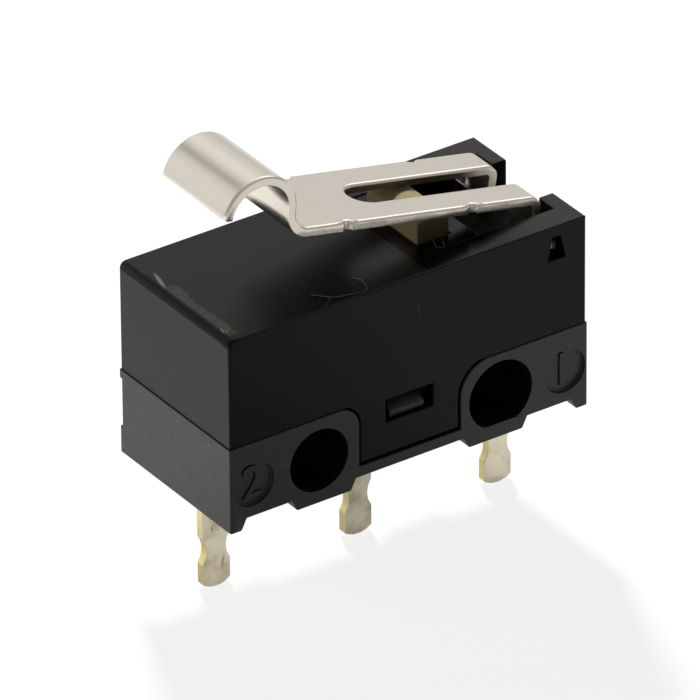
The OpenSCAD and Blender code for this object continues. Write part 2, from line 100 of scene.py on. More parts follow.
def softened(node, name, edge_mm, steps=2, rolled=None, roll_mm=0):
    """A copy of a CAD node in one skin, its sharp edges rounded as tools leave them, more where rolled says."""
    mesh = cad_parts[node].data.copy()
    for extra in ("custom_normal", "sharp_face", "sharp_edge"):
        if extra in mesh.attributes:
            mesh.attributes.remove(mesh.attributes[extra])
    mesh.materials.clear()
    piece = linked(name, mesh)
    skin = bmesh.new()
    skin.from_mesh(mesh)
    bmesh.ops.remove_doubles(skin, verts=skin.verts, dist=MERGE_MM * MM)
    bmesh.ops.dissolve_limit(skin, angle_limit=math.radians(FLAT_DEG), verts=skin.verts, edges=skin.edges)
    # A long edge is cut near both ends, so that what meets it there bends no light along the rest of it.
    hold = HOLD_WIDTHS * max(edge_mm, roll_mm) * MM
    for edge in [e for e in skin.edges if e.calc_length() > 4 * hold]:
        for end in list(edge.verts):
            bmesh.utils.edge_split(edge, end, hold / edge.calc_length())
    sharp = [e for e in skin.edges if e.is_manifold and e.calc_face_angle() > math.radians(SHARP_DEG)]
    wide = [e for e in sharp if rolled and rolled(e)]
    for edges, size_mm in ((wide, roll_mm), ([e for e in sharp if e not in wide], edge_mm)):
        bmesh.ops.bevel(skin, geom=[e for e in edges if e.is_valid], offset=size_mm * MM,
                        offset_type="OFFSET", affect="EDGES", segments=steps, profile=0.5, material=-1,
                        clamp_overlap=False)
    for face in skin.faces:
        face.smooth = True
    skin.to_mesh(mesh)
    skin.free()
    piece.modifiers.new("even_normals", "WEIGHTED_NORMAL").weight = NORMAL_WEIGHT
    return piece


def moulded_pbt(name, black, flow, roughness, specular, grain_depth):
    """Black PBT from a spark-eroded mould: a satin skin, darker and lighter where the melt flowed."""
    # The grain is drawn about twice as coarse as a real one, so that it shows.
    material, tree, out, place = new_material(name)
    streak = add_node(tree, "TexNoise", {"Vector": place, "Scale": 1 / (FLOW_MM * MM), "Detail": 3.0})
    grain = add_node(tree, "TexNoise", {"Vector": place, "Scale": 1 / (GRAIN_MM * MM), "Detail": 2.0})
    blend = add_node(tree, "MapRange", {"Value": streak.outputs["Fac"], "From Min": 0.35, "From Max": 0.68})
    colour = add_node(tree, "Mix", {"Factor": blend.outputs["Result"], "A": linear(black), "B": linear(flow)},
                      data_type="RGBA")
    rough = add_node(tree, "MapRange", {"Value": grain.outputs["Fac"], "From Min": 0.3, "From Max": 0.7,
                                        "To Min": roughness - 0.4 * grain_depth,
                                        "To Max": roughness + 0.6 * grain_depth})
    bump = add_node(tree, "Bump", {"Height": grain.outputs["Fac"], "Strength": grain_depth,
                                   "Distance": GRAIN_DEPTH_MM * MM})
    skin = add_node(tree, "BsdfPrincipled", {"Base Color": colour.outputs["Result"],
                                             "Roughness": rough.outputs["Result"],
                                             "Normal": bump.outputs["Normal"], "Specular IOR Level": specular})
    tree.links.new(skin.outputs["BSDF"], out.inputs["Surface"])
    return material, tree, skin, place


base_pbt = moulded_pbt("black_pbt_base", BASE_BLACK, BASE_FLOW, roughness=0.46, specular=0.43, grain_depth=0.12)[0]
# Painted shade: the bores' darker, barely shiny black stands for the shade inside the screw holes.
bore_shade_pbt = moulded_pbt("painted_shade_pbt_bore", BORE_SHADE_BLACK, BORE_SHADE_FLOW, roughness=0.55, specular=0.06, grain_depth=0.05)[0]
base = softened("base", "base_moulding", BASE_EDGE_MM)
base.data.materials.append(base_pbt)
base.data.materials.append(bore_shade_pbt)
for face in base.data.polygons:
    spot = face.center / MM
    in_bore = any(math.hypot(spot.x - x_mm, spot.z) < reach_mm for x_mm, reach_mm in BORES_MM)
    face.material_index = 1 if in_bore and abs(face.normal.y) < 0.4 else 0
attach(base, "case")
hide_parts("base")

# Terminal numbers
# Raised strokes of the same moulding in the two sunk discs, cut into the mould with a small
# engraving tool: they stand almost up to the face of the base.
NUMBERS_MM = (("2", -5.56, 0.055), ("1", 5.52, 0.045))
NUMBER_H_MM = 1.08
NUMBER_RISE_MM = 0.06
NUMBER_FOOT_Y_MM = -2.765
NUMBER_EDGE_MM = 0.015

for sign, x_mm, z_mm in NUMBERS_MM:
    letter = bpy.data.curves.new("terminal_number_" + sign, "FONT")
    letter.body = sign
    letter.extrude = 0.5
    letter.resolution_u = 5
    drawn = bpy.data.objects.new("drawn_number_" + sign, letter)
    skin = bmesh.new()
    skin.from_mesh(bpy.data.meshes.new_from_object(drawn))
    bpy.data.objects.remove(drawn)
    bmesh.ops.remove_doubles(skin, verts=skin.verts, dist=1e-5)
    low = [min(v.co[i] for v in skin.verts) for i in range(3)]
    high = [max(v.co[i] for v in skin.verts) for i in range(3)]
    bmesh.ops.translate(skin, verts=skin.verts,
                        vec=[-(low[0] + high[0]) / 2, -(low[1] + high[1]) / 2, -low[2]])
    size = NUMBER_H_MM * MM / (high[1] - low[1])
    bmesh.ops.scale(skin, verts=skin.verts, vec=(size, size, NUMBER_RISE_MM * MM / (high[2] - low[2])))
    raised = [e for e in skin.edges if min(v.co.z for v in e.verts) > 0.5 * NUMBER_RISE_MM * MM]
    bmesh.ops.bevel(skin, geom=[e for e in raised if e.calc_face_angle(0) > 1], offset=NUMBER_EDGE_MM * MM,
                    offset_type="OFFSET", affect="EDGES", segments=2, profile=0.5, material=-1,
                    clamp_overlap=True)
    bmesh.ops.rotate(skin, verts=skin.verts, cent=(0, 0, 0), matrix=Matrix.Rotation(math.pi / 2, 3, "X"))
    bmesh.ops.translate(skin, verts=skin.verts, vec=Vector((x_mm, NUMBER_FOOT_Y_MM, z_mm)) * MM)
    bmesh.ops.recalc_face_normals(skin, faces=skin.faces)
    mesh = bpy.data.meshes.new("terminal_number_" + sign)
    skin.to_mesh(mesh)
    skin.free()
    mesh.materials.append(base_pbt)
    number = linked("terminal_number_" + sign, mesh)
    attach(number, "case")

# Terminals
# Three legs blanked from copper alloy strip 0.3 mm thick and plated before blanking, so their
# flats are dull silver while the sheared edges show yellow metal.
LEG_EDGE_MM = 0.02
PLATE = "#e1d8c1"
PLATE_STAIN = "#b5a98c"
STAIN_MM = 0.9
RUB_BROWN = "#b19d78"
RUB_MM = 0.3
LEFT_LEG_MARKS_MM = (((-4.865, -0.15, -4.3), (0.07, 0.3, 0.34), 8),
             ((-5.228, -0.15, -3.037), (0.06, 0.3, 0.14), 0))
CUT_METAL = "#f2e6ac"
CUT_DARK = "#bcae70"
TEAR_MM = 0.12
TEAR_DEPTH_MM = 0.02


def oval_mark(tree, place, middle_mm, half_mm, turn):
    """One oval mark on a piece: 1 in its middle, fading to 0 at its rim."""
    inside = add_node(tree, "Mapping", {"Vector": place, "Location": Vector(middle_mm) * MM,
                                        "Scale": Vector(half_mm) * MM,
                                        "Rotation": [math.radians(a) for a in turn]}, vector_type="TEXTURE")
    reach = add_node(tree, "VectorMath", {0: inside.outputs["Vector"]}, operation="LENGTH")
    return add_node(tree, "MapRange", {"Value": reach.outputs["Value"], "From Min": 1.0, "From Max": 0.35},
                    interpolation_type="SMOOTHSTEP").outputs["Result"]


# Dull plating: a creamy silver, stained in clouds, rubbed brown in a few streaks, and with two dark brown marks on
# the left leg, at a dent and at a small notch.
plate, tree, out, place = new_material("dull_plated_strip")
cloud = add_node(tree, "TexNoise", {"Vector": place, "Scale": 1 / (STAIN_MM * MM), "Detail": 4.0,
                                    "Roughness": 0.6})
spread = add_node(tree, "MapRange", {"Value": cloud.outputs["Fac"], "From Min": 0.45, "From Max": 0.72})
drawn = add_node(tree, "Mapping", {"Vector": place, "Scale": (1.0, 1.0, 0.3)})
rub = add_node(tree, "TexNoise", {"Vector": drawn.outputs["Vector"], "Scale": 1 / (RUB_MM * MM), "Detail": 2.0})
rubbed_and_marked = add_node(tree, "MapRange", {"Value": rub.outputs["Fac"], "From Min": 0.64, "From Max": 0.78,
                                     "To Max": 0.5})
for middle_mm, half_mm, turn in LEFT_LEG_MARKS_MM:
    leg_mark = oval_mark(tree, place, middle_mm, half_mm, (0, turn, 0))
    rubbed_and_marked = add_node(tree, "Math", {0: rubbed_and_marked.outputs[0], 1: leg_mark}, operation="MAXIMUM")
colour = add_node(tree, "Mix", {"Factor": spread.outputs["Result"], "A": linear(PLATE),
                                "B": linear(PLATE_STAIN)}, data_type="RGBA")
colour = add_node(tree, "Mix", {"Factor": rubbed_and_marked.outputs[0], "A": colour.outputs["Result"],
                                "B": linear(RUB_BROWN)}, data_type="RGBA")
rough = add_node(tree, "MapRange", {"Value": cloud.outputs["Fac"], "To Min": 0.34, "To Max": 0.52})
skin = add_node(tree, "BsdfPrincipled", {"Base Color": colour.outputs["Result"],
                                         "Roughness": rough.outputs["Result"], "Metallic": 1.0})
tree.links.new(skin.outputs["BSDF"], out.inputs["Surface"])

# Sheared copper alloy: bare yellow metal with the streaks of the cut.
sheared, tree, out, place = new_material("sheared_copper_alloy")
along = add_node(tree, "Mapping", {"Vector": place, "Scale": (1.0, 3.0, 0.3)})
tear = add_node(tree, "TexNoise", {"Vector": along.outputs["Vector"], "Scale": 1 / (TEAR_MM * MM), "Detail": 3.0})
colour = add_node(tree, "Mix", {"Factor": tear.outputs["Fac"], "A": linear(CUT_METAL), "B": linear(CUT_DARK)},
                  data_type="RGBA")
bump = add_node(tree, "Bump", {"Height": tear.outputs["Fac"], "Strength": 0.4, "Distance": TEAR_DEPTH_MM * MM})
skin = add_node(tree, "BsdfPrincipled", {"Base Color": colour.outputs["Result"], "Roughness": 0.38,
                                         "Metallic": 1.0, "Normal": bump.outputs["Normal"]})
tree.links.new(skin.outputs["BSDF"], out.inputs["Surface"])

for node in ("common_terminal", "normally_open_terminal", "normally_closed_terminal"):
    leg = softened(node, node + "_strip", LEG_EDGE_MM)
    leg.data.materials.append(plate)
    leg.data.materials.append(sheared)
    for face in leg.data.polygons:
        face.material_index = 1 if abs(face.normal.y) < 0.6 else 0
    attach(leg, "case")
    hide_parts(node)

# Contacts and leaf spring
# The working pieces inside the closed case: silver alloy buttons riveted to the strips and to
# the free end of the snap blade, which is rolled from copper alloy and hooked on the common strip.
CONTACT_EDGE_MM = 0.03
LEAF_EDGE_MM = 0.01
SILVER = "#e6e3dd"
SILVER_TARNISH = "#b9b2a4"
TARNISH_MM = 0.3
LEAF_COPPER = "#c98e5c"
LEAF_SHADE = "#a8703f"
LEAF_SHADE_MM = 0.8


def worked_metal(name, bright, dull, patch_mm, smooth, rough):
    """A worked metal with a soft shine, whose tone and polish drift over patches of the given size."""
    material, tree, out, place = new_material(name)
    patch = add_node(tree, "TexNoise", {"Vector": place, "Scale": 1 / (patch_mm * MM), "Detail": 3.0})
    colour = add_node(tree, "Mix", {"Factor": patch.outputs["Fac"], "A": linear(bright), "B": linear(dull)},
                      data_type="RGBA")
    polish = add_node(tree, "MapRange", {"Value": patch.outputs["Fac"], "To Min": smooth, "To Max": rough})
    skin = add_node(tree, "BsdfPrincipled", {"Base Color": colour.outputs["Result"], "Metallic": 1.0,
                                             "Roughness": polish.outputs["Result"]})
    tree.links.new(skin.outputs["BSDF"], out.inputs["Surface"])
    return material


silver = worked_metal("satin_silver_alloy", SILVER, SILVER_TARNISH, TARNISH_MM, smooth=0.2, rough=0.4)
copper = worked_metal("rolled_copper_alloy", LEAF_COPPER, LEAF_SHADE, LEAF_SHADE_MM, smooth=0.25, rough=0.4)
for node, body in (("no_contact", "case"), ("nc_contact", "case"), ("moving_contact", "contact_arm")):
    button = softened(node, node + "_button", CONTACT_EDGE_MM)
    button.data.materials.append(silver)
    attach(button, body)
    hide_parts(node)
leaf = softened("leaf_spring", "snap_blade", LEAF_EDGE_MM)
leaf.data.materials.append(copper)
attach(leaf, "contact_arm")
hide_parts("leaf_spring")

# Plunger
# A cream acetal button that slides in the cover and carries the lever on its crown.
# Acetal lets a little light in, so its edges look soft and waxy.
PLUNGER_EDGE_MM = 0.05
ACETAL = "#c6b88e"
ACETAL_DEEP = "#b0a072"
ACETAL_CLOUD_MM = 0.8
ACETAL_GLOW_MM = 0.4

acetal, tree, out, place = new_material("cream_acetal")
cloud = add_node(tree, "TexNoise", {"Vector": place, "Scale": 1 / (ACETAL_CLOUD_MM * MM), "Detail": 3.0})
colour = add_node(tree, "Mix", {"Factor": cloud.outputs["Fac"], "A": linear(ACETAL), "B": linear(ACETAL_DEEP)},
                  data_type="RGBA")
rough = add_node(tree, "MapRange", {"Value": cloud.outputs["Fac"], "To Min": 0.32, "To Max": 0.5})
skin = add_node(tree, "BsdfPrincipled", {"Base Color": colour.outputs["Result"],
                                         "Roughness": rough.outputs["Result"], "Specular IOR Level": 0.1,
                                         "Subsurface Weight": 0.15, "Subsurface Radius": (0.5, 0.35, 0.2),
                                         "Subsurface Scale": ACETAL_GLOW_MM * MM})
tree.links.new(skin.outputs["BSDF"], out.inputs["Surface"])

plunger = softened("plunger", "plunger_button", PLUNGER_EDGE_MM, steps=3)
plunger.data.materials.append(acetal)
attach(plunger, "plunger")
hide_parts("plunger")

# Cover
# The upper half of the case, moulded in black PBT and snapped over the base by two teeth. Its
# deck is smoother than the rest, and the pit of the hinge carries painted shade: a darker, barely
# shiny black. Handling has rounded the front corners of the top. A painted highlight lies along
# the free end's rim as a ragged paler grey band, and the tops of the horns are a paler grey.
COVER_EDGE_MM = 0.03
CORNER_ROLL_MM = 0.12
CORNER_Y_MM, CORNER_Z_MM = -2.8, 4.9
COVER_BLACK = "#0f0f0e"
COVER_FLOW = "#141413"
PIT_SHADE_BLACK = "#0b0b0a"
PIT_SHADE_FLOW = "#0f0f0e"
PIT_X_MM, PIT_Y_MM, PIT_Z_MM = 2.5, (-2.2, 1.5), 4.9
# Painted highlight along the free end's rim, and the paler grey of the horn tops.
PAINTED_PALE_GREY = "#3f3d39"
TOP_MM = (4.95, 5.0)
RIM_SHEEN_EDGE_MM = (-5.91, -5.67)
RIM_SHEEN_WAVE_MM = 0.8
RIM_SHEEN_SOFT_MM = 0.07
RIM_SHEEN_FADES_MM = (("Y", -2.62, -2.47), ("Y", 1.1, 0.5), ("X", -6.14, -6.1))
FLECK_MM = 0.25
HORN_MM = (3.6, 5.0)
HORN_PALE = 0.6
SCRATCH = "#7d7870"
SCRATCH_Z_MM, SCRATCH_HALF_Z_MM = 5.05, 0.1
SCRATCHES_MM = (((-6.0, 1.25), (0.085, 0.62), -14), ((-6.11, -2.17), (0.035, 0.2), -12),
                ((-6.01, -2.26), (0.03, 0.18), -60))
DECK_MM = (0.705, 0.745)
DECK_POLISH = 0.1


def handled_corner(edge):
    """Whether an edge of the cover lies by a front corner of its top."""
    return all(v.co.z > CORNER_Z_MM * MM and v.co.y < CORNER_Y_MM * MM for v in edge.verts)


cover_pbt, tree, skin, place = moulded_pbt("black_pbt_cover", COVER_BLACK, COVER_FLOW,
                                           roughness=0.28, specular=0.12, grain_depth=0.02)
axes = add_node(tree, "SeparateXYZ", {"Vector": place})
top = add_node(tree, "MapRange", {"Value": axes.outputs["Z"], "From Min": TOP_MM[0] * MM,
                                  "From Max": TOP_MM[1] * MM})
# Painted highlight: a ragged paler grey band along the free end's rim, where its rounding would catch the light;
# the tops of the horns are mixed a paler grey as well.
rim = add_node(tree, "Mapping", {"Vector": place, "Scale": (0.15, 1.0, 0.0)})
wander = add_node(tree, "TexNoise", {"Vector": rim.outputs["Vector"], "Scale": 1 / (RIM_SHEEN_WAVE_MM * MM),
                                     "Detail": 3.0})
reach = add_node(tree, "MapRange", {"Value": wander.outputs["Fac"], "From Min": 0.3, "From Max": 0.7,
                                    "To Min": RIM_SHEEN_EDGE_MM[0] * MM, "To Max": RIM_SHEEN_EDGE_MM[1] * MM})
inside = add_node(tree, "Math", {0: reach.outputs["Result"], 1: axes.outputs["X"]}, operation="SUBTRACT")
band = add_node(tree, "MapRange", {"Value": inside.outputs[0], "From Max": RIM_SHEEN_SOFT_MM * MM},
                interpolation_type="SMOOTHSTEP")
fades = [add_node(tree, "MapRange", {"Value": axes.outputs[axis], "From Min": none_mm * MM,
                                     "From Max": full_mm * MM}, interpolation_type="SMOOTHSTEP")
         for axis, none_mm, full_mm in RIM_SHEEN_FADES_MM]
fleck = add_node(tree, "TexNoise", {"Vector": place, "Scale": 1 / (FLECK_MM * MM), "Detail": 2.0})
rim_sheen_and_pale_horns = add_node(tree, "MapRange", {"Value": fleck.outputs["Fac"], "From Min": 0.3, "From Max": 0.7,
                                   "To Min": 0.6})
for part in (top, *fades, band):
    rim_sheen_and_pale_horns = add_node(tree, "Math", {0: rim_sheen_and_pale_horns.outputs[0], 1: part.outputs["Result"]}, operation="MULTIPLY")
horn = add_node(tree, "MapRange", {"Value": axes.outputs["X"], "From Min": HORN_MM[0] * MM,
                                   "From Max": HORN_MM[1] * MM, "To Max": HORN_PALE})
horn = add_node(tree, "Math", {0: horn.outputs["Result"], 1: top.outputs["Result"]}, operation="MULTIPLY")
rim_sheen_and_pale_horns = add_node(tree, "Math", {0: rim_sheen_and_pale_horns.outputs[0], 1: horn.outputs[0]}, operation="MAXIMUM")
colour = add_node(tree, "Mix", {"Factor": rim_sheen_and_pale_horns.outputs[0], "A": skin.inputs["Base Color"].links[0].from_socket,
                                "B": linear(PAINTED_PALE_GREY)}, data_type="RGBA")
for (x_mm, y_mm), (half_x_mm, half_y_mm), turn in SCRATCHES_MM:
    scratch = oval_mark(tree, place, (x_mm, y_mm, SCRATCH_Z_MM), (half_x_mm, half_y_mm, SCRATCH_HALF_Z_MM),
                        (0, 0, turn))
    colour = add_node(tree, "Mix", {"Factor": scratch, "A": colour.outputs["Result"], "B": linear(SCRATCH)},
                      data_type="RGBA")
deck = add_node(tree, "MapRange", {"Value": axes.outputs["X"], "From Min": DECK_MM[0] * MM,
                                   "From Max": DECK_MM[1] * MM})
polish = add_node(tree, "Math", {0: deck.outputs["Result"], 1: top.outputs["Result"]}, operation="MULTIPLY")
rough = add_node(tree, "Math", {0: polish.outputs[0], 1: -DECK_POLISH,
                                2: skin.inputs["Roughness"].links[0].from_socket}, operation="MULTIPLY_ADD")
tree.links.new(colour.outputs["Result"], skin.inputs["Base Color"])
tree.links.new(rough.outputs[0], skin.inputs["Roughness"])
# Painted shade: a darker, barely shiny black for the pit of the hinge, standing for the shade in it.
pit_shade_pbt = moulded_pbt("painted_shade_pbt_pit", PIT_SHADE_BLACK, PIT_SHADE_FLOW, roughness=0.55, specular=0.03, grain_depth=0.02)[0]

cover = softened("cover", "cover_moulding", COVER_EDGE_MM, rolled=handled_corner, roll_mm=CORNER_ROLL_MM)
cover.data.materials.append(cover_pbt)
cover.data.materials.append(pit_shade_pbt)
for face in cover.data.polygons:
    spot = face.center / MM
    in_pit = spot.x > PIT_X_MM and PIT_Y_MM[0] < spot.y < PIT_Y_MM[1] and spot.z < PIT_Z_MM
    face.material_index = 1 if in_pit else 0
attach(cover, "case")
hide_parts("cover")

# Lint and dust
# Textile fibres that lie on the top by its front edge, on the deck before the plunger and on the
# front, and grains of dust caught on the edges. They are loose on the moulding, and pale against it.
LINT = "#a8a49b"
LINT_SHADE = "#79766f"
LINT_TWIST_MM = 0.1
FIBRES_MM = (
    ("lint_fibre", 0.012, [(-2.88, -2.0, 5.07), (-2.64, -2.26, 5.065), (-2.44, -2.5, 5.07), (-2.0, -2.66, 5.09),
                           (-1.98, -2.67, 5.09), (-1.67, -2.72, 5.08), (-1.43, -2.76, 5.065),
                           (-1.42, -2.75, 5.065), (-1.3, -2.57, 5.1), (-1.24, -2.24, 5.13), (-1.24, -2.22, 5.13),
                           (-1.28, -2.03, 5.11), (-1.37, -1.86, 5.065)]),
    ("lint_branch", 0.01, [(-2.52, -2.42, 5.07), (-2.56, -2.5, 5.075), (-2.6, -2.55, 5.075), (-2.78, -2.7, 5.07),
                           (-2.9, -2.78, 5.064)]),
    ("deck_lint", 0.009, [(1.9, -1.32, 5.03), (1.82, -1.55, 5.02), (1.73, -1.78, 5.01), (1.74, -1.82, 5.01),
                          (1.92, -1.92, 5.01), (1.96, -1.91, 5.01), (2.05, -1.7, 5.02), (2.13, -1.49, 5.03)]),
    ("front_lint", 0.009, [(0.09, -2.858, 3.92), (0.25, -2.87, 3.88), (0.37, -2.862, 3.87), (0.36, -2.87, 4.0),
                           (0.32, -2.86, 4.15), (0.34, -2.868, 3.8), (0.38, -2.858, 3.46)]),
)
DUST_SEED = 4
GRAINS_MM = (
    (-4.1, -2.65, 5.05, 0.035), (-5.33, -2.82, 5.045, 0.03), (-2.38, -2.855, 5.02, 0.03),
    (-0.72, -2.8, 5.05, 0.025), (-6.14, 2.02, 5.04, 0.035), (-6.3, 2.4, 4.93, 0.03),
    (-6.03, -2.19, 5.05, 0.05), (-6.33, -2.83, 4.4, 0.045), (-0.37, -2.86, 1.36, 0.04),
    (-6.36, -2.68, 2.7, 0.06), (-6.36, 2.66, 2.4, 0.03), (-6.36, 2.62, 1.94, 0.03),
    (-6.36, 2.14, 2.17, 0.025), (-2.0, -1.1, 5.05, 0.02), (0.4, -2.3, 5.05, 0.02), (-3.6, 0.4, 5.05, 0.02),
)

# Textile fibre: dull and pale, a little darker where it twists.
lint, tree, out, place = new_material("pale_textile_fibre")
twist = add_node(tree, "TexNoise", {"Vector": place, "Scale": 1 / (LINT_TWIST_MM * MM), "Detail": 2.0})
colour = add_node(tree, "Mix", {"Factor": twist.outputs["Fac"], "A": linear(LINT), "B": linear(LINT_SHADE)},
                  data_type="RGBA")
skin = add_node(tree, "BsdfPrincipled", {"Base Color": colour.outputs["Result"], "Roughness": 0.85})
tree.links.new(skin.outputs["BSDF"], out.inputs["Surface"])

for name, radius_mm, path in FIBRES_MM:
    thread = bpy.data.curves.new(name, "CURVE")
    thread.dimensions = "3D"
    thread.bevel_depth = radius_mm * MM
    thread.bevel_resolution = 1
    thread.resolution_u = 5
    thread.use_fill_caps = True
    line = thread.splines.new("NURBS")
    line.points.add(len(path) - 1)
    line.use_endpoint_u = True
    line.order_u = 3
    for point, spot in zip(line.points, path):
        point.co = (Vector(spot) * MM).to_4d()
    drawn = bpy.data.objects.new(name + "_drawn", thread)
    mesh = bpy.data.meshes.new_from_object(drawn)
    bpy.data.objects.remove(drawn)
    mesh.materials.clear()
    mesh.materials.append(lint)
    fibre = linked(name, mesh)
    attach(fibre, "case")

draw = random.Random(DUST_SEED)
skin = bmesh.new()
for x_mm, y_mm, z_mm, size_mm in GRAINS_MM:
    grain = bmesh.ops.create_icosphere(skin, subdivisions=1, radius=size_mm / 2 * MM)["verts"]
    bmesh.ops.scale(skin, verts=grain, vec=[draw.uniform(0.6, 1.3), draw.uniform(0.6, 1.3), draw.uniform(0.4, 0.8)])
    bmesh.ops.rotate(skin, verts=grain, cent=(0, 0, 0), matrix=Matrix.Rotation(draw.uniform(0, 3), 3, "Z"))
    bmesh.ops.translate(skin, verts=grain, vec=Vector((x_mm, y_mm, z_mm)) * MM)
mesh = bpy.data.meshes.new("dust_grains")
skin.to_mesh(mesh)
skin.free()
mesh.materials.append(lint)
dust = linked("dust_grains", mesh)
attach(dust, "case")

# Lever
# Stainless steel strip 0.3 mm thick, blanked, bent and curled in a press, with two ears that
# turn in the cover. Its flats keep the satin of the rolling mill. A sheared side is burnished
# near the punch side and torn rough below that.
LEVER_EDGE_MM = 0.025
LEVER_ROLL_MM = 0.1
LEVER_RISE_DEG = 11.7
PIVOT_MM = (5.3, 0.0, 4.27)
SIDE_MM = 1.2
SLOT_END_MM = -0.9
RISER_MM = -8.37
CURL_MM = (-10.22, 1.7)
CURL_RADIUS_MM = 1.15
STEEL = "#d9d2c6"
STEEL_SHADE = "#cfc8bc"
MILL_LINE_MM = 0.06
STEEL_TORN = "#8f897f"
FRACTURE_MM = (1.14, 1.08)
FRACTURE_SWAY_MM = 0.3
FRACTURE_SWING_MM = 0.16
RIP_MM = 0.07
RIP_DEPTH_MM = 0.03
# Painted shade of the slot wall, and the span along the strip over which it turns back to plain steel.
SLOT_SHADE_BROWN = "#6b6153"
SLOT_PLAIN_STEEL_MM = (4.3, 4.9)
SLOT_FRAY_MM = 0.15

# Satin stainless steel: a bright, softly blurred shine with the lines of the mill along the strip,
# which are drawn wider than real ones so that they show.
steel, tree, out, place = new_material("satin_stainless_strip")
mill = add_node(tree, "Mapping", {"Vector": place, "Scale": (0.25, 1.0, 0.25)})
line = add_node(tree, "TexNoise", {"Vector": mill.outputs["Vector"], "Scale": 1 / (MILL_LINE_MM * MM),
                                   "Detail": 3.0})
colour = add_node(tree, "Mix", {"Factor": line.outputs["Fac"], "A": linear(STEEL), "B": linear(STEEL_SHADE)},
                  data_type="RGBA")
rough = add_node(tree, "MapRange", {"Value": line.outputs["Fac"], "To Min": 0.25, "To Max": 0.37})
skin = add_node(tree, "BsdfPrincipled", {"Base Color": colour.outputs["Result"], "Metallic": 1.0,
                                         "Roughness": rough.outputs["Result"]})
tree.links.new(skin.outputs["BSDF"], out.inputs["Surface"])

# Sheared stainless steel: a burnished band, and torn metal that is duller and pitted.
torn, tree, out, place = new_material("sheared_stainless_side")
level_strip = Matrix.Rotation(math.radians(-LEVER_RISE_DEG), 3, "Y")
strip = add_node(tree, "Mapping", {"Vector": place, "Rotation": (0, math.radians(-LEVER_RISE_DEG), 0),
                                   "Location": -(level_strip @ Vector(PIVOT_MM)) * MM})
height = add_node(tree, "SeparateXYZ", {"Vector": strip.outputs["Vector"]}).outputs["Z"]
rip = add_node(tree, "TexNoise", {"Vector": strip.outputs["Vector"], "Scale": 1 / (RIP_MM * MM), "Detail": 3.0})
sway = add_node(tree, "TexNoise", {"Vector": strip.outputs["Vector"], "Scale": 1 / (FRACTURE_SWAY_MM * MM),
                                   "Detail": 2.0})
edge = add_node(tree, "Math", {0: sway.outputs["Fac"], 1: FRACTURE_SWING_MM * MM, 2: height},
                operation="MULTIPLY_ADD")
fracture = add_node(tree, "MapRange", {"Value": edge.outputs[0], "From Min": FRACTURE_MM[0] * MM,
                                       "From Max": FRACTURE_MM[1] * MM})
tone = add_node(tree, "Math", {0: fracture.outputs["Result"], 1: rip.outputs["Fac"]}, operation="MULTIPLY")
colour = add_node(tree, "Mix", {"Factor": tone.outputs[0], "A": linear(STEEL), "B": linear(STEEL_TORN)},
                  data_type="RGBA")
rough = add_node(tree, "MapRange", {"Value": fracture.outputs["Result"], "To Min": 0.25, "To Max": 0.45})
bump = add_node(tree, "Bump", {"Height": tone.outputs[0], "Strength": 0.4, "Distance": RIP_DEPTH_MM * MM})
skin = add_node(tree, "BsdfPrincipled", {"Base Color": colour.outputs["Result"], "Metallic": 1.0,
                                         "Roughness": rough.outputs["Result"], "Normal": bump.outputs["Normal"]})
tree.links.new(skin.outputs["BSDF"], out.inputs["Surface"])

# Slot wall: painted shade, a dark brown steel for the shade and dim reflections inside the slot, turning back to
# the plain steel colour where the fork bends down to the ears.
dull, tree, out, place = new_material("painted_shade_slot_wall")
fray = add_node(tree, "TexNoise", {"Vector": place, "Scale": 1 / (SLOT_FRAY_MM * MM), "Detail": 2.0})
along = add_node(tree, "SeparateXYZ", {"Vector": place})
bright = add_node(tree, "MapRange", {"Value": along.outputs["X"], "From Min": SLOT_PLAIN_STEEL_MM[0] * MM,
                                     "From Max": SLOT_PLAIN_STEEL_MM[1] * MM})
colour = add_node(tree, "Mix", {"Factor": bright.outputs["Result"], "A": linear(SLOT_SHADE_BROWN), "B": linear(STEEL)},
                  data_type="RGBA")
rough = add_node(tree, "MapRange", {"Value": fray.outputs["Fac"], "To Min": 0.35, "To Max": 0.6})
skin = add_node(tree, "BsdfPrincipled", {"Base Color": colour.outputs["Result"], "Metallic": 1.0,
                                         "Roughness": rough.outputs["Result"]})
tree.links.new(skin.outputs["BSDF"], out.inputs["Surface"])


def punch_side(edge):
    """Whether an edge of the strip is on the side that the punch met: top of the flat, outside of the curl."""
    near, far = [level_strip @ (v.co / MM - Vector(PIVOT_MM)) for v in edge.verts]
    spot = (near + far) / 2
    if spot.x > RISER_MM:
        out = Vector((0, 0, 1))
    elif spot.x > CURL_MM[0] + CURL_RADIUS_MM:
        out = Vector((1, 0, 1)).normalized()
    else:
        out = Vector((spot.x - CURL_MM[0], 0, spot.z - CURL_MM[1])).normalized()
    along = abs((far - near).normalized().dot(out))
    return along < 0.9 and max((level_strip @ f.normal).dot(out) for f in edge.link_faces) > 0.6


lever = softened("lever", "lever_strip", LEVER_EDGE_MM, steps=3, rolled=punch_side, roll_mm=LEVER_ROLL_MM)
for finish in (steel, torn, dull):
    lever.data.materials.append(finish)
for face in lever.data.polygons:
    if abs(face.center.y) > SIDE_MM * MM:
        face.material_index = 1 if abs(face.normal.y) > 0.7 else 0
    else:
        upright = abs((level_strip @ face.normal).z) < 0.1
        face.material_index = 2 if upright and face.center.x > SLOT_END_MM * MM else 0
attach(lever, "lever")
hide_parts("lever")

